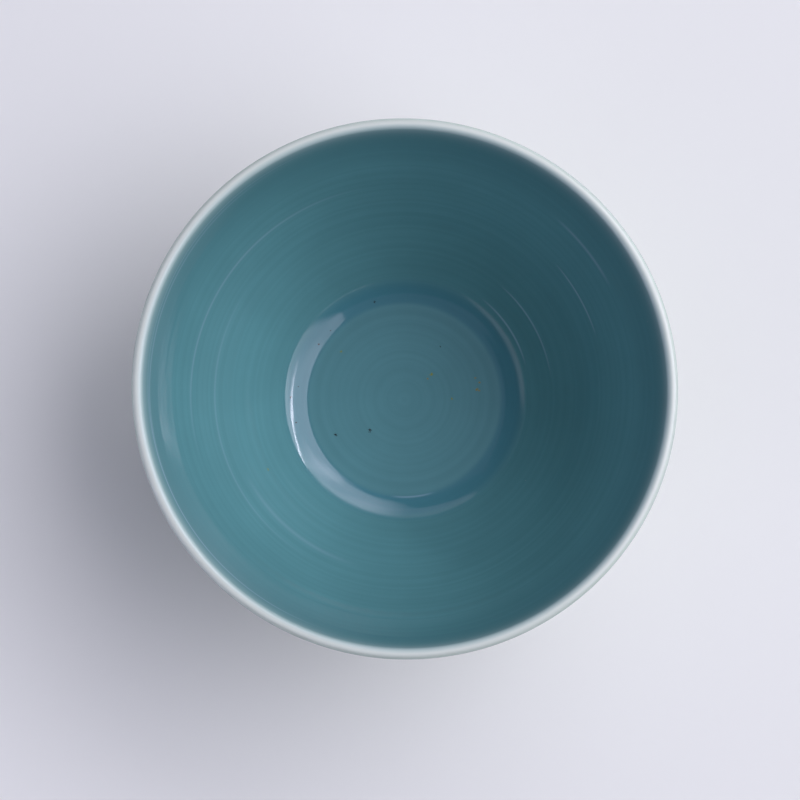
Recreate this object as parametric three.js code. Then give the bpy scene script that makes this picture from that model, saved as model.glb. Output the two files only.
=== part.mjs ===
// A thrown porcelain rice bowl: a bare porcelain body and foot ring, with four coats of glaze fused to them.
// Millimetres, +Z up. The origin is the centre of the foot, on the surface that the bowl stands on.
//
// Every piece is a solid of revolution about Z. A surface is followed by its slope: at slope s it rises at
// s radians above the horizontal, and the arc's point lies at centre + radius * (sin s, -cos s).
// Neighbouring pieces are turned from the same points and the same segments, so they meet face to face.

import * as THREE from "three";

const degrees = THREE.MathUtils.degToRad;

// Driving dimensions
const RIM_DIAMETER = 120;
const HEIGHT = 59;
const LIP_THICKNESS = 2.6; // rounded lip, glaze included
const RIM_SLOPE = degrees(74);
const RIM_BAND = 2.5; // how far the rim's own glaze runs down the wall, inside and out
const GLAZE = 0.35; // thickness of every coat
const FLOOR_DIAMETER = 46; // flat bottom of the hollow
const FILLET_RADIUS = 2; // tight curve round the edge of the floor
const FILLET_SLOPE = degrees(14); // where it becomes the well, the wider curve up to the wall
const CREASE_DIAMETER = 57.4; // the well meets the wall in a soft crease
const WELL_SLOPE = degrees(33); // the well's slope at the crease
const WALL_SLOPE = degrees(43); // the wall's own slope at the crease
const WALL_GAIN = 14; // the outer wall's radius over the inner one's, so the wall thickens downwards
const HEEL_RADIUS = 12; // tighter curve under the outer wall, turned in to the foot
const HEEL_SLOPE = degrees(46); // where the outer wall becomes the heel
const FOOT_DIAMETER = 55;
const FOOT_WIDTH = 3.4; // radial width of the foot ring at the table
const FOOT_TAPER = degrees(6); // each side of the foot ring leans in towards its bottom
const FOOT_BEVEL = 0.6;
const BARE_FOOT = 1.2; // height of unglazed porcelain above the table

const SEGMENTS = 64;
const FILLET_STEPS = 2;
const WELL_STEPS = 4;
const WALL_STEPS = 8;
const HEEL_STEPS = 4;
const BAND_STEPS = 1;
const LIP_STEPS = 6;

// Worked out from the driving dimensions
const LIP = { radius: LIP_THICKNESS / 2 };
LIP.centre = new THREE.Vector2(RIM_DIAMETER / 2 - LIP.radius, HEIGHT - LIP.radius);
const FLOOR_RADIUS = FLOOR_DIAMETER / 2;
const CREASE_RADIUS = CREASE_DIAMETER / 2;
const FOOT_RADIUS = FOOT_DIAMETER / 2;

// Direction from an arc's centre to its point at a slope.
function outwards(slope) {
  return new THREE.Vector2(Math.sin(slope), -Math.cos(slope));
}

function onArc(arc, slope, depth) {
  return arc.centre.clone().addScaledVector(outwards(slope), arc.radius + depth);
}

// Points along an arc between two slopes. depth moves them away from the arc's centre.
function along(arc, from, to, steps, depth) {
  return Array.from({ length: steps + 1 }, (_, i) => onArc(arc, from + ((to - from) * i) / steps, depth));
}

// An arc of a radius that passes through a point at a slope.
function arcThrough(point, slope, radius) {
  return { centre: point.clone().addScaledVector(outwards(slope), -radius), radius };
}

// Radius of an arc that takes this much radial distance between two slopes.
function radiusFor(reach, from, to) {
  return reach / (Math.sin(to) - Math.sin(from));
}

// The inner wall is tangent to the lip and ends at the crease. The well starts there and is tangent to the
// fillet, which is tangent to the floor, so these give the height of the floor.
const lipInside = LIP.centre.clone().addScaledVector(outwards(RIM_SLOPE), -LIP.radius);
const lipOutside = LIP.centre.clone().addScaledVector(outwards(RIM_SLOPE), LIP.radius);
const wallRadius = radiusFor(lipInside.x - CREASE_RADIUS, WALL_SLOPE, RIM_SLOPE);
const innerWall = arcThrough(lipInside, RIM_SLOPE, wallRadius);
const wellReach = CREASE_RADIUS - FLOOR_RADIUS - FILLET_RADIUS * Math.sin(FILLET_SLOPE);
const wellRadius = radiusFor(wellReach, FILLET_SLOPE, WELL_SLOPE);
const well = arcThrough(onArc(innerWall, WALL_SLOPE, 0), WELL_SLOPE, wellRadius);
const fillet = arcThrough(onArc(well, FILLET_SLOPE, 0), FILLET_SLOPE, FILLET_RADIUS);
const FLOOR_Z = fillet.centre.y - fillet.radius;

const outerWall = arcThrough(lipOutside, RIM_SLOPE, innerWall.radius + WALL_GAIN);
const heel = arcThrough(onArc(outerWall, HEEL_SLOPE, 0), HEEL_SLOPE, HEEL_RADIUS);
const innerSeam = RIM_SLOPE - RIM_BAND / innerWall.radius;
const outerSeam = RIM_SLOPE - RIM_BAND / outerWall.radius;

// Radius of the foot ring's outer and inner sides at a height. depth goes into the porcelain.
function footOutside(z, depth) {
  return FOOT_RADIUS + z * Math.tan(FOOT_TAPER) - depth / Math.cos(FOOT_TAPER);
}

function footInside(z, depth) {
  return FOOT_RADIUS - FOOT_WIDTH - z * Math.tan(FOOT_TAPER) + depth / Math.cos(FOOT_TAPER);
}

// Slope at which the heel runs into the side of the foot ring.
function footSlope(depth) {
  const reach = (footOutside(heel.centre.y, 0) - heel.centre.x) * Math.cos(FOOT_TAPER) - depth;
  return Math.asin(reach / (heel.radius - depth)) - FOOT_TAPER;
}

// The lip's rounding, from the inside over the crest to the outside.
function lipCurve(depth) {
  const radius = LIP.radius - depth;
  return Array.from({ length: LIP_STEPS + 1 }, (_, i) => {
    const turn = RIM_SLOPE + Math.PI - (Math.PI * i) / LIP_STEPS;
    return LIP.centre.clone().addScaledVector(outwards(turn), radius);
  });
}

// The surfaces at a depth under the glaze's face. The inside ones run outwards and up, the outside ones down.
const insideBelowBand = (depth) => [
  new THREE.Vector2(0, FLOOR_Z - depth),
  ...along(fillet, 0, FILLET_SLOPE, FILLET_STEPS, depth).slice(0, -1),
  ...along(well, FILLET_SLOPE, WELL_SLOPE, WELL_STEPS, depth).slice(0, -1),
  ...along(innerWall, WALL_SLOPE, innerSeam, WALL_STEPS, depth),
];
const insideOfBand = (depth) => along(innerWall, innerSeam, RIM_SLOPE, BAND_STEPS, depth);
const outsideOfBand = (depth) => along(outerWall, RIM_SLOPE, outerSeam, BAND_STEPS, -depth);
const outsideBelowBand = (depth) => [
  ...along(outerWall, outerSeam, HEEL_SLOPE, WALL_STEPS, -depth),
  ...along(heel, HEEL_SLOPE, footSlope(depth), HEEL_STEPS, -depth).slice(1),
];

const overTheRim = (depth) => [
  ...insideOfBand(depth),
  ...lipCurve(depth).slice(1, -1),
  ...outsideOfBand(depth),
];

// The body stands on the foot ring in one flat plane, at the height of the corner between heel and foot.
const JOINT_Z = onArc(heel, footSlope(GLAZE), -GLAZE).y;

// Turns a closed outline of (radius, height) points about Z. Outlines run anticlockwise, seen from +Y.
function turned(outline) {
  const ends = outline[0].x === 0 ? outline : [...outline, outline[0].clone()];
  const geometry = new THREE.LatheGeometry(ends, SEGMENTS);
  return geometry.rotateX(Math.PI / 2);
}

function porcelainBody() {
  const underside = new THREE.Vector2(0, JOINT_Z);
  const inside = insideBelowBand(GLAZE);
  const outside = outsideBelowBand(GLAZE).slice(1);
  return turned([...inside, ...overTheRim(GLAZE).slice(1), ...outside, underside].reverse());
}

function footRing() {
  return turned([
    new THREE.Vector2(footOutside(JOINT_Z, GLAZE), JOINT_Z),
    new THREE.Vector2(footInside(JOINT_Z, GLAZE), JOINT_Z),
    new THREE.Vector2(footInside(BARE_FOOT, GLAZE), BARE_FOOT),
    new THREE.Vector2(footInside(FOOT_BEVEL, GLAZE), FOOT_BEVEL),
    new THREE.Vector2(footInside(0, GLAZE) + FOOT_BEVEL, 0),
    new THREE.Vector2(footOutside(0, GLAZE) - FOOT_BEVEL, 0),
    new THREE.Vector2(footOutside(FOOT_BEVEL, GLAZE), FOOT_BEVEL),
    new THREE.Vector2(footOutside(BARE_FOOT, GLAZE), BARE_FOOT),
  ]);
}

function interiorGlaze() {
  return turned([...insideBelowBand(GLAZE), ...insideBelowBand(0).reverse()]);
}

function rimGlazeBand() {
  return turned([...overTheRim(GLAZE), ...overTheRim(0).reverse()]);
}

function exteriorGlaze() {
  const back = [...outsideBelowBand(GLAZE), new THREE.Vector2(footOutside(BARE_FOOT, GLAZE), BARE_FOOT)];
  const face = [...outsideBelowBand(0), new THREE.Vector2(footOutside(BARE_FOOT, 0), BARE_FOOT)];
  return turned([...back, ...face.reverse()]);
}

function footWellGlaze() {
  return turned([
    new THREE.Vector2(0, JOINT_Z - GLAZE),
    new THREE.Vector2(footInside(JOINT_Z - GLAZE, 0), JOINT_Z - GLAZE),
    new THREE.Vector2(footInside(BARE_FOOT, 0), BARE_FOOT),
    new THREE.Vector2(footInside(BARE_FOOT, GLAZE), BARE_FOOT),
    new THREE.Vector2(footInside(JOINT_Z, GLAZE), JOINT_Z),
    new THREE.Vector2(0, JOINT_Z),
  ]);
}

const porcelain = new THREE.MeshStandardMaterial({ color: 0xe9e6df, roughness: 0.75, metalness: 0 });
const tealGlaze = new THREE.MeshStandardMaterial({ color: 0x4f8391, roughness: 0.12, metalness: 0 });
const rimGlaze = new THREE.MeshStandardMaterial({ color: 0xc9d6d8, roughness: 0.15, metalness: 0 });
const paleGlaze = new THREE.MeshStandardMaterial({ color: 0xbfd0d1, roughness: 0.18, metalness: 0 });

const bowl = new THREE.Group();
for (const [name, geometry, material] of [
  ["porcelain_body", porcelainBody(), porcelain],
  ["foot_ring", footRing(), porcelain],
  ["interior_glaze", interiorGlaze(), tealGlaze],
  ["rim_glaze_band", rimGlazeBand(), rimGlaze],
  ["exterior_glaze", exteriorGlaze(), paleGlaze],
  ["foot_well_glaze", footWellGlaze(), paleGlaze],
]) {
  const mesh = new THREE.Mesh(geometry, material);
  mesh.name = name;
  bowl.add(mesh);
}

export default bowl;
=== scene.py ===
"""A thrown porcelain rice bowl: teal glaze in the hollow, thin and white over the lip, pale celadon outside.

Every piece is turned about the bowl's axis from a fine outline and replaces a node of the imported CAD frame.
Metres, +Z up.
"""

import math

import bpy
import numpy as np
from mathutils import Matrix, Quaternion, Vector


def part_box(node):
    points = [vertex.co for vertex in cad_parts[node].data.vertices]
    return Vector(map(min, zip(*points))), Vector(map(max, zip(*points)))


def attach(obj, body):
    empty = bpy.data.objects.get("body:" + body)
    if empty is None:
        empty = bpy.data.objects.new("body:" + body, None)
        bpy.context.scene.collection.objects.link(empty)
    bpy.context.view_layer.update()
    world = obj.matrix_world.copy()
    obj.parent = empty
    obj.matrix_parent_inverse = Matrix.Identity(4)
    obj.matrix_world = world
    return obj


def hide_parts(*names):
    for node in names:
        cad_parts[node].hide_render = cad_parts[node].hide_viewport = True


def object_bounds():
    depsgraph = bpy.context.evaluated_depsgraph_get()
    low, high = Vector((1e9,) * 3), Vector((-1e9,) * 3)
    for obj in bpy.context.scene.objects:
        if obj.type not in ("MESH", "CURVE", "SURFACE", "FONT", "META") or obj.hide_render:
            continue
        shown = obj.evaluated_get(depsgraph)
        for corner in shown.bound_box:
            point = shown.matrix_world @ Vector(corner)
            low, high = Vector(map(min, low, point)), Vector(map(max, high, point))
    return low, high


MM = 0.001
SEED = 11

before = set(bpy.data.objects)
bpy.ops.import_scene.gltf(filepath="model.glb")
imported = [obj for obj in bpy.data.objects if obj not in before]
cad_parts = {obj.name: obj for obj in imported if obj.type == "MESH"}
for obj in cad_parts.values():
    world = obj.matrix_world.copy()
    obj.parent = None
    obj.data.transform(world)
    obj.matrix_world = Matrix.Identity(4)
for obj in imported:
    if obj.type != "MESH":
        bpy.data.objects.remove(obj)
cad_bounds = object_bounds()
rng = np.random.default_rng(SEED)


# ---------------------------------------------------------------- sizes

# A surface is followed by its slope: at slope s it rises at s above the horizontal.
RIM_RADIUS = cad_bounds[1].x
HEIGHT = cad_bounds[1].z
LIP_RADIUS = 1.3 * MM
RIM_SLOPE = math.radians(74)
RIM_BAND = 2.5 * MM  # the lip's own glaze runs this far down the wall
GLAZE = 0.35 * MM
FLOOR_RADIUS = 23.0 * MM
FILLET_RADIUS = 2.0 * MM  # tight curve at the edge of the floor
FILLET_SLOPE = math.radians(14)
CREASE_RADIUS = 29.0 * MM  # where the well meets the wall
WELL_SLOPE = math.radians(33)  # of the well, just inside the crease
WALL_SLOPE = math.radians(43)  # of the wall, just outside it
WALL_GAIN = 14 * MM  # the outer wall's radius over the inner one's
HEEL_RADIUS = 12 * MM
HEEL_SLOPE = math.radians(46)
FOOT_RADIUS = 27.5 * MM
FOOT_TAPER = math.radians(6)
FOOT_WIDTH = 3.4 * MM
FOOT_BEVEL = 0.6 * MM
BARE_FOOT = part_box("exterior_glaze")[0].z

# The lip dried slightly oval: half its spread of radius, as a share, and where its long axis points.
OVAL = 0.0057
OVAL_TURN = math.radians(-20)

SEGMENTS = 256  # round the axis
TURNS = np.arange(SEGMENTS) * 2 * math.pi / SEGMENTS
FINE = 0.3 * MM  # step along a visible face, and along the porcelain under the lip
FINEST = 0.1 * MM  # step round the lip and the foot's edges, and along outlines before they are evened
COARSE = 3 * MM  # step along a hidden face
EDGE_STEPS = 6  # round the lower edge of a coat of glaze
SHARP_ANGLE = math.radians(32)  # edges sharper than this are shaded as edges


# ---------------------------------------------------------------- outlines, as (radius, height) points


def outwards(slope):
    return np.array([math.sin(slope), -math.cos(slope)])


def arc(centre, radius, start, end, step):
    """Points on an arc between two slopes."""
    count = max(2, math.ceil(abs(end - start) * radius / step))
    return [centre + radius * outwards(s) for s in np.linspace(start, end, count + 1)]


def radius_for(reach, start, end):
    """Radius of an arc that takes this much radial distance between two slopes."""
    return reach / (math.sin(end) - math.sin(start))


lip_centre = np.array([RIM_RADIUS - LIP_RADIUS, HEIGHT - LIP_RADIUS])
lip_inside = lip_centre - LIP_RADIUS * outwards(RIM_SLOPE)
lip_outside = lip_centre + LIP_RADIUS * outwards(RIM_SLOPE)

INNER_RADIUS = radius_for(lip_inside[0] - CREASE_RADIUS, WALL_SLOPE, RIM_SLOPE)
inner_centre = lip_inside - INNER_RADIUS * outwards(RIM_SLOPE)
crease = inner_centre + INNER_RADIUS * outwards(WALL_SLOPE)
well_reach = CREASE_RADIUS - FLOOR_RADIUS - FILLET_RADIUS * math.sin(FILLET_SLOPE)
WELL_RADIUS = radius_for(well_reach, FILLET_SLOPE, WELL_SLOPE)
well_centre = crease - WELL_RADIUS * outwards(WELL_SLOPE)
fillet_centre = well_centre + (WELL_RADIUS - FILLET_RADIUS) * outwards(FILLET_SLOPE)
FLOOR_Z = fillet_centre[1] - FILLET_RADIUS

OUTER_RADIUS = INNER_RADIUS + WALL_GAIN
outer_centre = lip_outside - OUTER_RADIUS * outwards(RIM_SLOPE)
heel_centre = outer_centre + (OUTER_RADIUS - HEEL_RADIUS) * outwards(HEEL_SLOPE)
inner_seam = RIM_SLOPE - RIM_BAND / INNER_RADIUS
outer_seam = RIM_SLOPE - RIM_BAND / OUTER_RADIUS
CREST_RUN = RIM_BAND + LIP_RADIUS * RIM_SLOPE  # from the inner seam up to the lip's crest


def foot_outside(z, depth):
    return FOOT_RADIUS + z * math.tan(FOOT_TAPER) - depth / math.cos(FOOT_TAPER)


def foot_inside(z, depth):
    return FOOT_RADIUS - FOOT_WIDTH - z * math.tan(FOOT_TAPER) + depth / math.cos(FOOT_TAPER)


def foot_slope(depth):
    """Slope at which the heel runs into the side of the foot ring."""
    reach = (foot_outside(heel_centre[1], 0) - heel_centre[0]) * math.cos(FOOT_TAPER) - depth
    return math.asin(reach / (HEEL_RADIUS - depth)) - FOOT_TAPER


JOINT_Z = (heel_centre + (HEEL_RADIUS - GLAZE) * outwards(foot_slope(GLAZE)))[1]


def hollow(depth, step):
    """The hollow's surface from the axis to the rim band's seam."""
    return [
        np.array([0, FLOOR_Z - depth]),
        *arc(fillet_centre, FILLET_RADIUS + depth, 0, FILLET_SLOPE, step)[:-1],
        *arc(well_centre, WELL_RADIUS + depth, FILLET_SLOPE, WELL_SLOPE, step)[:-1],
        *arc(inner_centre, INNER_RADIUS + depth, WALL_SLOPE, inner_seam, step),
    ]


def over_the_rim(depth, step):
    """From the inner seam over the lip to the outer seam."""
    lip_turns = (RIM_SLOPE + math.pi, RIM_SLOPE)
    return [
        *arc(inner_centre, INNER_RADIUS + depth, inner_seam, RIM_SLOPE, step)[:-1],
        *arc(lip_centre, LIP_RADIUS - depth, *lip_turns, step)[:-1],
        *arc(outer_centre, OUTER_RADIUS - depth, RIM_SLOPE, outer_seam, step),
    ]


def outside(depth, step):
    """From the outer seam down to the foot ring's corner."""
    return [
        *arc(outer_centre, OUTER_RADIUS - depth, outer_seam, HEEL_SLOPE, step)[:-1],
        *arc(heel_centre, HEEL_RADIUS - depth, HEEL_SLOPE, foot_slope(depth), step),
    ]


def distances(points):
    """How far along an outline each of its points is."""
    return np.concatenate([[0], np.cumsum(np.linalg.norm(np.diff(points, axis=0), axis=1))])


def even(points, step):
    """The outline with its points at equal distances."""
    points = np.array(points, float)
    run = distances(points)
    at = np.linspace(0, run[-1], math.ceil(run[-1] / step) + 1)
    return np.stack([np.interp(at, run, points[:, k]) for k in (0, 1)], axis=1)


def softened(points, width):
    """An even outline with its corners rounded over a width. Its ends stay where they are."""
    step = np.linalg.norm(points[1] - points[0])
    reach = math.ceil(3 * width / step)
    before = 2 * points[0] - points[reach:0:-1]
    after = 2 * points[-1] - points[-2 : -reach - 2 : -1]
    padded = np.concatenate([before, points, after])
    weights = np.exp(-0.5 * (np.arange(-reach, reach + 1) * step / width) ** 2)
    weights /= weights.sum()
    return np.stack([np.convolve(padded[:, k], weights, "valid") for k in (0, 1)], axis=1)


# ---------------------------------------------------------------- turning


def warp(points):
    """Leans the round shape to the slight oval that the lip dried to. The foot stays round."""
    turn = np.arctan2(points[:, 1], points[:, 0])
    height = np.clip(points[:, 2] / HEIGHT, 0, 1)
    scale = 1 + OVAL * height**2 * np.cos(2 * (turn - OVAL_TURN))
    points[:, :2] *= scale[:, None]
    return points


def normals_of(outline):
    """Unit normals of an open outline, to the left of the way it runs."""
    along = np.gradient(outline, axis=0)
    along /= np.linalg.norm(along, axis=1)[:, None]
    return np.stack([-along[:, 1], along[:, 0]], axis=1)


def spun(outline, run, radius, height):
    """Points, their distances along the face, and faces of a closed outline taken round the axis.

    radius and height hold a row for each of the outline's points. A row on the axis becomes one point.
    """
    on_axis = outline[:, 0] < 1e-9
    points, runs, rows = [], [], []
    for i, alone in enumerate(on_axis):
        row = np.stack([radius[i] * np.cos(TURNS), radius[i] * np.sin(TURNS), height[i]], axis=1)
        if alone:
            row = row[:1]
        rows.append(np.resize(np.arange(len(row)) + len(points), SEGMENTS))
        points.extend(row)
        runs.extend([run[i]] * len(row))

    faces = []
    for i, a in enumerate(rows):
        j = (i + 1) % len(rows)
        if on_axis[i] and on_axis[j]:
            continue
        b = rows[j]
        for quad in np.stack([a, np.roll(a, -1), np.roll(b, -1), b], axis=1).tolist():
            faces.append(list(dict.fromkeys(quad)))
    return np.array(points), runs, faces


def turned(name, node, material, face, back, relief=None):
    """Turns a closed piece about Z from its visible face and its hidden back, which run the same way.

    relief(run, turn) is how far the face stands out, at a distance along it and an angle round the axis.
    The mesh keeps each point's distance along the face as its attribute "run".
    """
    face, back = np.array(face), np.array(back).reshape(-1, 2)
    outline = np.concatenate([face, back[::-1]])
    run = np.concatenate([distances(face), np.zeros(len(back))])
    radius = np.repeat(outline[:, :1], SEGMENTS, axis=1)
    height = np.repeat(outline[:, 1:], SEGMENTS, axis=1)
    if relief:
        lift = relief(run[: len(face), None], TURNS[None, :])
        normals = normals_of(face)
        radius[: len(face)] += normals[:, :1] * lift
        height[: len(face)] += normals[:, 1:] * lift
    points, runs, faces = spun(outline, run, radius, height)

    mesh = bpy.data.meshes.new(name)
    mesh.from_pydata(warp(points), [], faces)
    mesh.attributes.new("run", "FLOAT", "POINT").data.foreach_set("value", np.array(runs, np.float32))
    if signed_volume(mesh) < 0:
        mesh.flip_normals()
    mesh.polygons.foreach_set("use_smooth", [True] * len(mesh.polygons))
    mesh.set_sharp_from_angle(angle=SHARP_ANGLE)
    mesh.materials.append(material)
    piece = bpy.data.objects.new(name, mesh)
    bpy.context.scene.collection.objects.link(piece)
    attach(piece, "root")
    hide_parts(node)
    return piece


def signed_volume(mesh):
    """Volume of a closed mesh, negative when its faces look inwards."""
    mesh.calc_loop_triangles()
    co = np.zeros(len(mesh.vertices) * 3)
    mesh.vertices.foreach_get("co", co)
    corners = np.zeros(len(mesh.loop_triangles) * 3, int)
    mesh.loop_triangles.foreach_get("vertices", corners)
    a, b, c = co.reshape(-1, 3)[corners.reshape(-1, 3)].transpose(1, 0, 2)
    return np.einsum("ij,ij->", a, np.cross(b, c)) / 6


# ---------------------------------------------------------------- relief


def throwing_rings(length, spacing, height):
    """Faint rings left by the potter's fingers on a face of this length."""
    places = np.arange(spacing / 2, length, spacing)
    count = len(places)
    places = places + spacing * rng.uniform(-0.3, 0.3, count)
    sizes = height * rng.uniform(-1, 1, count)
    widths = spacing * rng.uniform(0.3, 0.6, count)
    phases = rng.uniform(0, 2 * math.pi, count)

    def relief(run, turn):
        total = 0
        for place, size, width, phase in zip(places, sizes, widths, phases):
            wander = 0.25 * spacing * np.cos(turn + phase)
            strength = 0.65 + 0.35 * np.cos(turn - 2 * phase)
            total = total + size * strength * np.exp(-(((run - place - wander) / width) ** 2))
        return total

    return relief


def unevenness(wavelength, height, count=6):
    """Broad, shallow waves along and round a face, as hands leave them."""
    waves = []
    for _ in range(count):
        lobes = rng.integers(1, 6)
        wave = rng.uniform(0.7, 1.5) * wavelength
        phase, start = rng.uniform(0, 2 * math.pi, 2)
        waves.append((lobes, wave, phase, start))

    def relief(run, turn):
        total = 0
        for lobes, wave, phase, start in waves:
            total = total + np.cos(lobes * turn + phase) * np.sin(2 * math.pi * run / wave + start)
        return total * height / count

    return relief


def faded(reliefs, start, end, edge):
    """The sum of reliefs between two places along a face, faded to nothing over an edge at both."""

    def relief(run, turn):
        share = np.clip(np.minimum(run - start, end - run) / edge, 0, 1)
        return sum(part(run, turn) for part in reliefs) * share * share * (3 - 2 * share)

    return relief


# ---------------------------------------------------------------- materials


class Nodes:
    """Short names for making a material's nodes."""

    # The Mix node has sockets of one name for each type of data, so its colour ones are found by number.
    COLOUR_A = 6
    COLOUR_B = 7
    COLOUR_RESULT = 2

    def __init__(self, name):
        self.material = bpy.data.materials.new(name)
        self.material.use_nodes = True
        self.tree = self.material.node_tree
        self.shader = self.tree.nodes["Principled BSDF"]

    def set(self, name, value):
        """Sets or links one of the shader's inputs."""
        self.link(value, self.shader.inputs[name])

    def link(self, value, socket):
        """Links a socket to another one, or sets it to a number or a colour."""
        if isinstance(value, bpy.types.NodeSocket):
            self.tree.links.new(value, socket)
        elif socket.type == "RGBA":
            socket.default_value = (*value, 1)
        else:
            socket.default_value = value

    def math(self, operation, a, b=0.0):
        node = self.tree.nodes.new("ShaderNodeMath")
        node.operation = operation
        self.link(a, node.inputs[0])
        self.link(b, node.inputs[1])
        return node.outputs[0]

    def span(self, value, low, high, to_low=0.0, to_high=1.0):
        """Smooth step of a value from low to high."""
        node = self.tree.nodes.new("ShaderNodeMapRange")
        node.interpolation_type = "SMOOTHSTEP"
        self.link(value, node.inputs["Value"])
        node.inputs["From Min"].default_value = low
        node.inputs["From Max"].default_value = high
        node.inputs["To Min"].default_value = to_low
        node.inputs["To Max"].default_value = to_high
        return node.outputs["Result"]

    def mix(self, share, a, b):
        """The colour a, or b by a share from 0 to 1."""
        node = self.tree.nodes.new("ShaderNodeMix")
        node.data_type = "RGBA"
        self.link(share, node.inputs["Factor"])
        self.link(a, node.inputs[self.COLOUR_A])
        self.link(b, node.inputs[self.COLOUR_B])
        return node.outputs[self.COLOUR_RESULT]

    def place(self):
        """The object's own position."""
        return self.tree.nodes.new("ShaderNodeTexCoord").outputs["Object"]

    def noise(self, scale, detail=3.0):
        """Noise over the object's own position, in cycles per metre."""
        node = self.tree.nodes.new("ShaderNodeTexNoise")
        self.link(self.place(), node.inputs["Vector"])
        node.inputs["Scale"].default_value = scale
        node.inputs["Detail"].default_value = detail
        return node.outputs["Fac"]

    def lines(self, value, scale, detail=3.0):
        """Noise along one value: rings, when the value is a distance along a face."""
        node = self.tree.nodes.new("ShaderNodeTexNoise")
        node.noise_dimensions = "1D"
        self.link(value, node.inputs["W"])
        node.inputs["Scale"].default_value = scale
        node.inputs["Detail"].default_value = detail
        return node.outputs["Fac"]

    def near(self, point):
        """Distance from a point."""
        node = self.tree.nodes.new("ShaderNodeVectorMath")
        node.operation = "DISTANCE"
        self.link(self.place(), node.inputs[0])
        node.inputs[1].default_value = point
        return node.outputs["Value"]

    def dots(self, spacing, radius, share):
        """1 inside small round dots scattered at about this spacing, of which only a share is kept."""
        node = self.tree.nodes.new("ShaderNodeTexVoronoi")
        self.link(self.place(), node.inputs["Vector"])
        node.inputs["Scale"].default_value = 1 / spacing
        chosen = self.math("LESS_THAN", self.red_of(node.outputs["Color"]), share)
        return self.math("MULTIPLY", chosen, self.span(node.outputs["Distance"], radius / spacing, 0))

    def red_of(self, colour):
        """A colour's red, which is a random number for each of a Voronoi texture's cells."""
        node = self.tree.nodes.new("ShaderNodeSeparateColor")
        self.link(colour, node.inputs["Color"])
        return node.outputs["Red"]

    def across(self):
        """The object's own X and Y."""
        node = self.tree.nodes.new("ShaderNodeSeparateXYZ")
        self.link(self.place(), node.inputs["Vector"])
        return node.outputs["X"], node.outputs["Y"]

    def axis_distance(self):
        """Distance from the axis."""
        x, y = self.across()
        return self.math("SQRT", self.math("ADD", self.math("MULTIPLY", x, x), self.math("MULTIPLY", y, y)))

    def turn(self):
        """Angle round the axis."""
        x, y = self.across()
        return self.math("ARCTAN2", y, x)

    def run(self):
        """Distance along the turned face."""
        node = self.tree.nodes.new("ShaderNodeAttribute")
        node.attribute_name = "run"
        return node.outputs["Fac"]

    def rings(self):
        """Fine lines left by the potter's fingers and rib, wandering a little off true circles."""
        wander = self.math("MULTIPLY", self.noise(9, 1.0), 3 * MM)
        return self.lines(self.math("ADD", self.run(), wander), 650)

    def bump(self, height, distance):
        """Relief of the shading only, where a height of 1 is this distance."""
        node = self.tree.nodes.new("ShaderNodeBump")
        node.inputs["Distance"].default_value = distance
        self.link(height, node.inputs["Height"])
        self.set("Normal", node.outputs["Normal"])


# Colours of the glaze and clay, and of what lies in them.
TEAL = (0.097, 0.256, 0.262)
TEAL_CLOUD = tuple(c * 1.07 for c in TEAL)
# A darker teal: the glaze's own tone between the throwing rings, and painted shade on the wall below the lip.
TEAL_RING_AND_SHADE = (0.081, 0.222, 0.231)  # between the throwing rings and below the lip
TEAL_POOLED = (0.056, 0.205, 0.243)  # where the glaze ran together and fired thicker
LIP_WHITE = (0.68, 0.735, 0.635)
LIP_TEAL = (0.41, 0.54, 0.495)  # halfway from teal to white
CELADON = (0.47, 0.57, 0.485)
CELADON_CLOUD = tuple(c * 0.95 for c in CELADON)
BISCUIT = (0.78, 0.75, 0.68)
BISCUIT_GRAIN = (0.62, 0.59, 0.52)
BISCUIT_STAIN = (0.60, 0.50, 0.38)
IRON = (0.020, 0.022, 0.018)
OCHRE = (0.25, 0.22, 0.06)
OLIVE = (0.22, 0.26, 0.05)

THINNING = 1.6 * MM  # the glaze thickens from white to teal over about this distance below the lip's crest
GLAZE_IOR = 1.52
RIPPLE_HEIGHT = 0.02 * MM
BISCUIT_ROUGHNESS = 0.85
GRAIN_HEIGHT = 0.03 * MM

# Specks in the hollow: azimuth in degrees, distance from the axis and radius in mm, colour.
SPECKS = [
    (207, 18.5, 0.34, IRON),
    (222, 11.1, 0.30, IRON),
    (1, 11.4, 0.22, OLIVE),
    (56, 15.4, 0.18, IRON),
    (43, 8.9, 0.30, OLIVE),
    (42, 7.5, 0.20, OCHRE),
    (143, 19.1, 0.24, OLIVE),
    (17, 17.8, 0.22, OCHRE),
    (13, 18.5, 0.26, OCHRE),
    (8, 17.5, 0.34, OCHRE),
    (7, 18.0, 0.20, OCHRE),
    (107, 24.5, 0.22, IRON),
    (137, 24.3, 0.15, IRON),
    (147, 24.5, 0.20, IRON),
    (173, 25.6, 0.17, IRON),
    (179, 27.2, 0.24, IRON),
    (192, 26.4, 0.20, IRON),
    (208, 36.3, 0.30, OLIVE),
]

# Narrow raised streaks in the hollow, painted pale as reflections of the lamps: azimuth of the middle and
# half length in degrees, distance from the axis, slant and half width in mm, and strength.
GLINT_STREAKS = [
    (150, 52, 48.5, 1.1, 0.36, 0.15),
    (192, 52, 43.9, -0.3, 0.34, 0.09),
    (230, 26, 41.0, -0.4, 0.70, 0.10),
    (160, 55, 57.0, 0.1, 0.18, 0.24),
    (165, 50, 56.3, 0.1, 0.22, 0.17),
    (212, 42, 56.4, -0.7, 0.24, 0.30),
    (38, 12, 52.2, 0.3, 0.50, 0.20),
    (29, 13, 46.1, 0.0, 0.24, 0.30),
    (29, 22, 35.0, 0.1, 0.22, 0.38),
    (34, 20, 30.1, 0.5, 0.24, 0.38),
    (275, 14, 23.3, 0.0, 0.20, 0.28),
]
# Colour of the painted reflections along the streaks.
GLINT_PALE = (0.50, 0.64, 0.74)
GLINT_STREAK_HEIGHT = 2.0  # of a streak of strength 1, as a multiple of the ripple's height


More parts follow.
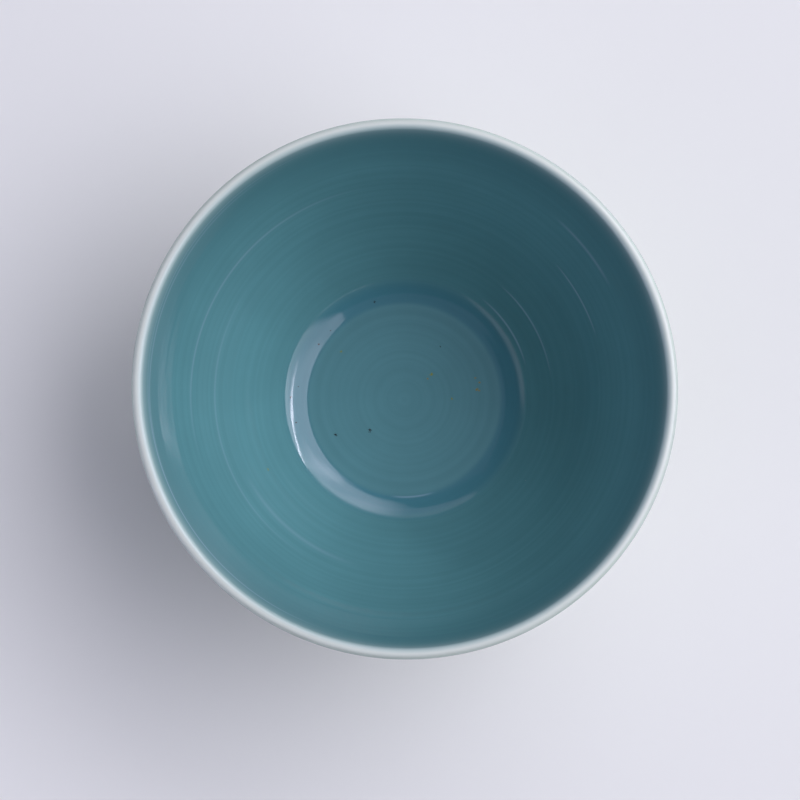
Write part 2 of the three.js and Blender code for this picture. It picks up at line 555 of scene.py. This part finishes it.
def run_at(radius):
    """Distance along the hollow's face at a distance from the axis."""
    return float(np.interp(radius, hollow_face[:, 0], distances(hollow_face)))


def face_height(radius):
    """Height of the hollow's face at a distance from the axis."""
    outline = np.array(hollow(0, FINE))
    return float(np.interp(radius, outline[:, 0], outline[:, 1]))


def speckled(nodes, colour):
    """A colour with the specks over it, each with an uneven edge."""
    uneven = nodes.span(nodes.noise(2600, 1.0), 0.3, 0.7, 0.55, 1.5)
    for azimuth, radius, size, tint in SPECKS:
        turn, radius, size = math.radians(azimuth), radius * MM, size * MM
        centre = (radius * math.cos(turn), radius * math.sin(turn), face_height(radius))
        off = nodes.math("MULTIPLY", nodes.near(centre), uneven)
        colour = nodes.mix(nodes.span(off, size * 1.3, size * 0.4), colour, tint)
    return colour


def thinned(nodes, colour, below_crest):
    """A colour that goes through pale teal to white where the glaze is thin over the lip."""
    thin = nodes.math("EXPONENT", nodes.math("DIVIDE", below_crest, -THINNING))
    first_half = nodes.math("MULTIPLY", thin, 2.0)
    second_half = nodes.math("SUBTRACT", first_half, 1.0)
    colour = nodes.mix(first_half, colour, LIP_TEAL)
    return nodes.mix(second_half, colour, LIP_WHITE)


def teal_colour(nodes, below_crest):
    """Clouded teal, darker between the rings and round the floor, with painted shade below the lip, and white
    over the lip.
    """
    cloud = nodes.span(nodes.noise(60, 4.0), 0.3, 0.7)
    colour = nodes.mix(cloud, TEAL, TEAL_CLOUD)
    away = nodes.axis_distance()
    rings = nodes.span(nodes.rings(), 0.3, 0.7, 0.35, 0.0)
    colour = nodes.mix(rings, colour, TEAL_RING_AND_SHADE)
    # Painted shade: the wall is darkened towards the lip.
    painted_shade_below_lip = nodes.span(below_crest, 20 * MM, 7 * MM, 0.0, 0.9)
    colour = nodes.mix(painted_shade_below_lip, colour, TEAL_RING_AND_SHADE)
    pooled = nodes.math(
        "MULTIPLY",
        nodes.span(away, FLOOR_RADIUS - 0.5 * MM, FLOOR_RADIUS + 0.8 * MM),
        nodes.span(away, CREASE_RADIUS + 0.5 * MM, CREASE_RADIUS - 2.5 * MM),
    )
    colour = nodes.mix(nodes.math("MULTIPLY", pooled, 0.7), colour, TEAL_POOLED)
    return thinned(nodes, speckled(nodes, colour), below_crest)


def interior_colour(nodes):
    """Teal with pale streaks of painted reflection."""
    below_crest = nodes.math("SUBTRACT", hollow_length + CREST_RUN, nodes.run())
    # Painted reflections: pale streaks mixed into the teal.
    return nodes.mix(glint_streaks(nodes), teal_colour(nodes, below_crest), GLINT_PALE)


def lip_colour(nodes):
    """White over the lip's crest, teal below it inside and celadon outside."""
    below_crest = nodes.math("SUBTRACT", CREST_RUN, nodes.run())
    colour = teal_colour(nodes, nodes.math("MAXIMUM", below_crest, 0))
    return nodes.mix(nodes.span(below_crest, -1.7 * MM, -0.1 * MM), celadon_colour(nodes), colour)


def celadon_colour(nodes):
    """Pale celadon with faint clouds."""
    cloud = nodes.span(nodes.noise(60, 4.0), 0.3, 0.7)
    return nodes.mix(cloud, CELADON, CELADON_CLOUD)


def glint_streaks(nodes):
    """How much of a painted reflection streak there is at a place: 0 outside them all."""
    total = 0.0
    for azimuth, half_length, radius, slant, width, strength in GLINT_STREAKS:
        along = nodes.math("SUBTRACT", nodes.turn(), math.radians(azimuth))
        drift = nodes.math("MULTIPLY", nodes.math("SINE", along), slant * MM)
        off = nodes.math("SUBTRACT", nodes.math("SUBTRACT", nodes.run(), run_at(radius * MM)), drift)
        off = nodes.math("DIVIDE", off, width * MM)
        profile = nodes.math("EXPONENT", nodes.math("MULTIPLY", off, nodes.math("MULTIPLY", off, -1.0)))
        length = nodes.span(nodes.math("COSINE", along), math.cos(math.radians(half_length)), 1.0)
        share = nodes.math("MULTIPLY", profile, nodes.math("MULTIPLY", length, strength))
        total = nodes.math("ADD", total, share)
    return total


def throwing_lines(nodes):
    """Fine rings in the hollow's glaze, and the streaks standing a little proud."""
    on_wall = nodes.span(nodes.axis_distance(), FLOOR_RADIUS - 2 * MM, CREASE_RADIUS, 0.15, 0.6)
    rings = nodes.math("MULTIPLY", nodes.rings(), on_wall)
    return nodes.math("ADD", rings, nodes.math("MULTIPLY", glint_streaks(nodes), GLINT_STREAK_HEIGHT))


def glaze_material(name, colour_of, lines_of=None):
    """A glossy glaze: faint ripple, pinholes and a trace of rougher and smoother patches."""
    nodes = Nodes(name)
    pinholes = nodes.dots(spacing=9 * MM, radius=0.16 * MM, share=0.35)
    colour = nodes.mix(nodes.math("MULTIPLY", pinholes, 0.35), colour_of(nodes), LIP_WHITE)
    nodes.set("Base Color", colour)
    nodes.set("Roughness", nodes.span(nodes.noise(700), 0.35, 0.75, 0.05, 0.08))
    nodes.set("IOR", GLAZE_IOR)
    height = nodes.math("SUBTRACT", nodes.noise(220, 2.0), nodes.math("MULTIPLY", pinholes, 1.5))
    if lines_of:
        height = nodes.math("ADD", height, lines_of(nodes))
    nodes.bump(height, RIPPLE_HEIGHT)
    return nodes.material


def biscuit_material(name):
    """Bare fired porcelain: matt, finely grained and faintly stained, with turning lines."""
    nodes = Nodes(name)
    grain = nodes.noise(2500, 4.0)
    turning = nodes.lines(nodes.run(), 2200, 2.0)
    stain = nodes.span(nodes.noise(140, 3.0), 0.45, 0.8, 0.0, 0.5)
    colour = nodes.mix(stain, BISCUIT, BISCUIT_STAIN)
    colour = nodes.mix(nodes.span(grain, 0.35, 0.75, 0.0, 0.5), colour, BISCUIT_GRAIN)
    nodes.set("Base Color", colour)
    nodes.set("Roughness", BISCUIT_ROUGHNESS)
    nodes.bump(nodes.math("ADD", grain, turning), GRAIN_HEIGHT)
    return nodes.material


hollow_face = softened(even(hollow(0, FINEST), FINE), 0.3 * MM)
hollow_length = distances(hollow_face)[-1]

biscuit = biscuit_material("bare_porcelain")
teal_glaze = glaze_material("teal_glaze", interior_colour, throwing_lines)
rim_glaze = glaze_material("rim_glaze", lip_colour)
pale_glaze = glaze_material("pale_glaze", celadon_colour)


# ---------------------------------------------------------------- pieces


def porcelain_body():
    """The wall, floor and lip under the glaze, down to the flat plane where they meet the foot ring."""
    face = [*hollow(GLAZE, COARSE), *over_the_rim(GLAZE, FINE)[1:], *outside(GLAZE, COARSE)[1:]]
    turned("porcelain_body_turned", "porcelain_body", biscuit, face, [(0, JOINT_Z)])


def foot_ring():
    """The turned foot, bevelled at the table and bare there."""
    outline = [
        (foot_outside(JOINT_Z, GLAZE), JOINT_Z),
        (foot_outside(FOOT_BEVEL, GLAZE), FOOT_BEVEL),
        (foot_outside(0, GLAZE) - FOOT_BEVEL, 0),
        (foot_inside(0, GLAZE) + FOOT_BEVEL, 0),
        (foot_inside(FOOT_BEVEL, GLAZE), FOOT_BEVEL),
        (foot_inside(JOINT_Z, GLAZE), JOINT_Z),
    ]
    face = softened(even(outline, FINEST), 0.2 * MM)
    turned("foot_ring_turned", "foot_ring", biscuit, face, [])


def interior_glaze():
    """The teal lining, uneven and with throwing rings, which fade out at its middle and at its edge."""
    rings = throwing_rings(hollow_length, spacing=2.4 * MM, height=0.05 * MM)
    waves = unevenness(wavelength=14 * MM, height=0.08 * MM)
    relief = faded([rings, waves], start=3 * MM, end=hollow_length, edge=3 * MM)
    back = hollow(GLAZE, COARSE)
    turned("interior_glaze_coat", "interior_glaze", teal_glaze, hollow_face, back, relief)


def rim_glaze_band():
    """The thin glaze over the lip."""
    face = over_the_rim(0, FINEST)
    turned("rim_glaze_coat", "rim_glaze_band", rim_glaze, face, over_the_rim(GLAZE, FINE))


def glaze_edge(foot_side, direction):
    """The rounded lower edge of a coat on the side of the foot, down to the bare porcelain."""
    z = BARE_FOOT + GLAZE
    points = []
    for turn in np.linspace(0, math.pi / 2, EDGE_STEPS + 1):
        inset = direction * GLAZE * (1 - math.cos(turn))
        points.append((foot_side(z, 0) - inset, z - GLAZE * math.sin(turn)))
    return points


def exterior_glaze():
    """The celadon on the outside. It is uneven and has faint rings, but for the foot."""
    face = softened(even([*outside(0, FINEST), *glaze_edge(foot_outside, 1)], FINE), 0.4 * MM)
    back = [*outside(GLAZE, COARSE), (foot_outside(BARE_FOOT, GLAZE), BARE_FOOT)]
    length = distances(face)[-1]
    rings = throwing_rings(length, spacing=3.5 * MM, height=0.012 * MM)
    waves = unevenness(wavelength=18 * MM, height=0.05 * MM)
    relief = faded([rings, waves], start=0, end=length - 6 * MM, edge=3 * MM)
    turned("exterior_glaze_coat", "exterior_glaze", pale_glaze, face, back, relief)


def foot_well_glaze():
    """The celadon inside the foot ring, with rings on its flat."""
    z = JOINT_Z - GLAZE
    face = [*reversed(glaze_edge(foot_inside, -1)), (foot_inside(z, 0), z), (0, z)]
    face = softened(even(face, FINE), 0.4 * MM)
    back = [(foot_inside(BARE_FOOT, GLAZE), BARE_FOOT), (foot_inside(JOINT_Z, GLAZE), JOINT_Z), (0, JOINT_Z)]
    length = distances(face)[-1]
    rings = throwing_rings(length, spacing=2.2 * MM, height=0.03 * MM)
    relief = faded([rings], start=5 * MM, end=length - 1 * MM, edge=2 * MM)
    turned("foot_well_glaze_coat", "foot_well_glaze", pale_glaze, face, back, relief)


porcelain_body()
foot_ring()
interior_glaze()
rim_glaze_band()
exterior_glaze()
foot_well_glaze()


# ---------------------------------------------------------------- stage, light and camera

TABLE_SIZE = 6.0
TABLE_COLOUR = (0.835, 0.84, 0.765)
TABLE_ROUGHNESS = 0.9

LIGHT_DISTANCE = 1.5
DAYLIGHT = (0.913, 0.90, 1.05)
SKYLIGHT = (0.94, 0.90, 1.2)
ZENITH = (0.78, 0.82, 1.2)
AMBIENT = (0.55, 0.6, 1)
AMBIENT_STRENGTH = 0.075

CAMERA_ELEVATION = math.radians(86.8)
CAMERA_DISTANCE = 0.55
CAMERA_AIM = Vector((-1.05 * MM, -2.86 * MM, HEIGHT))
CAMERA_SENSOR = 24
CAMERA_LENS = 75.1


def table():
    """The pale surface that the bowl stands on."""
    bpy.ops.mesh.primitive_plane_add(size=TABLE_SIZE)
    plane = bpy.context.object
    plane.name = "floor"
    surface = Nodes("floor")
    surface.set("Base Color", TABLE_COLOUR)
    surface.set("Roughness", TABLE_ROUGHNESS)
    plane.data.materials.append(surface.material)


def softbox(name, azimuth, elevation, width, height, radiance, soft=(0.1, 0.1), roll=0,
            distance=LIGHT_DISTANCE, shape="RECTANGLE", colour=DAYLIGHT):
    """A flat lamp seen from the bowl at an azimuth from +X and an elevation, in degrees.

    width and height are in metres, and roll turns it in its own plane. soft is the share of its width and of
    its height over which it fades towards its edges.
    """
    a, e = math.radians(azimuth), math.radians(elevation)
    towards = Vector((math.cos(a) * math.cos(e), math.sin(a) * math.cos(e), math.sin(e)))
    light = bpy.data.lights.new(name, "AREA")
    light.shape = shape
    light.size, light.size_y = width, height
    light.energy = math.pi * width * height * radiance * (math.pi / 4 if shape == "ELLIPSE" else 1)
    light.color = colour
    soften_edges(light, soft)
    lamp = bpy.data.objects.new(name, light)
    lamp.location = towards * distance + Vector((0, 0, HEIGHT / 2))
    lamp.rotation_mode = "QUATERNION"
    lamp.rotation_quaternion = towards.to_track_quat("Z", "Y") @ Quaternion((0, 0, 1), math.radians(roll))
    lamp.visible_camera = False
    bpy.context.scene.collection.objects.link(lamp)


def soften_edges(light, soft):
    """Dims a lamp towards its edges, by the distance from its middle across and up."""
    light.use_nodes = True
    tree = light.node_tree
    middle = tree.nodes.new("ShaderNodeVectorMath")
    middle.operation = "SUBTRACT"
    tree.links.new(tree.nodes.new("ShaderNodeNewGeometry").outputs["Parametric"], middle.inputs[0])
    middle.inputs[1].default_value = (0.5, 0.5, 0)
    off = tree.nodes.new("ShaderNodeVectorMath")
    off.operation = "ABSOLUTE"
    tree.links.new(middle.outputs["Vector"], off.inputs[0])
    split = tree.nodes.new("ShaderNodeSeparateXYZ")
    tree.links.new(off.outputs["Vector"], split.inputs[0])
    both = tree.nodes.new("ShaderNodeMath")
    both.operation = "MULTIPLY"
    for side, share in enumerate(soft):
        fade = tree.nodes.new("ShaderNodeMapRange")
        fade.interpolation_type = "SMOOTHSTEP"
        tree.links.new(split.outputs[side], fade.inputs["Value"])
        fade.inputs["From Min"].default_value = 0.5
        fade.inputs["From Max"].default_value = 0.5 * (1 - share)
        tree.links.new(fade.outputs["Result"], both.inputs[side])
    tree.links.new(both.outputs[0], tree.nodes["Emission"].inputs["Strength"])


def ambient_light():
    """Dim bluish light from all round."""
    world = bpy.data.worlds.new("studio")
    world.use_nodes = True
    background = world.node_tree.nodes["Background"]
    background.inputs["Color"].default_value = (*AMBIENT, 1)
    background.inputs["Strength"].default_value = AMBIENT_STRENGTH
    bpy.context.scene.world = world


def camera():
    """Looks along +Y, almost straight down."""
    data = bpy.data.cameras.new("camera")
    data.sensor_width = CAMERA_SENSOR
    data.lens = CAMERA_LENS
    viewer = bpy.data.objects.new("camera", data)
    back = Vector((0, -math.cos(CAMERA_ELEVATION), math.sin(CAMERA_ELEVATION)))
    viewer.location = CAMERA_AIM + back * CAMERA_DISTANCE
    viewer.rotation_mode = "QUATERNION"
    viewer.rotation_quaternion = back.to_track_quat("Z", "Y")
    bpy.context.scene.collection.objects.link(viewer)
    bpy.context.scene.camera = viewer


table()
softbox("key", 3, 49, 2.1, 1.55, 2.02, shape="ELLIPSE", soft=(0.3, 0.06))
softbox("key_middle", 18, 50, 1.8, 1.45, 0.95, shape="ELLIPSE", soft=(0.5, 0.1))
softbox("key_side", 60, 44, 1.5, 0.75, 2.95, shape="ELLIPSE", soft=(0.8, 0.6))
softbox("key_glow", 18, 37, 1.6, 0.1, 18, soft=(1, 1), roll=-20, distance=1.4)
softbox("key_skirt", 15, 30, 2.3, 0.45, 0.8, soft=(0.3, 0.5))
softbox("front_strip", -53, 29, 1.2, 0.18, 1.5, soft=(0.4, 0.3))
softbox("left_fill", 212, 20, 0.36, 0.12, 4.0, soft=(0.5, 0.5), distance=0.5, colour=SKYLIGHT)
softbox("left_low", 180, 14, 0.7, 0.15, 1.35, soft=(0.5, 0.5), distance=0.5, colour=SKYLIGHT)
softbox("left_card", 205, 34, 1.9, 0.38, 0.7, soft=(0.4, 0.6))
softbox("back_panel", 85, 36, 2.0, 0.4, 0.7)
softbox("ceiling", 0, 90, 2.5, 2.5, 0.22, distance=2.0, colour=ZENITH)
ambient_light()
camera()
bpy.context.scene.view_settings.view_transform = "Standard"
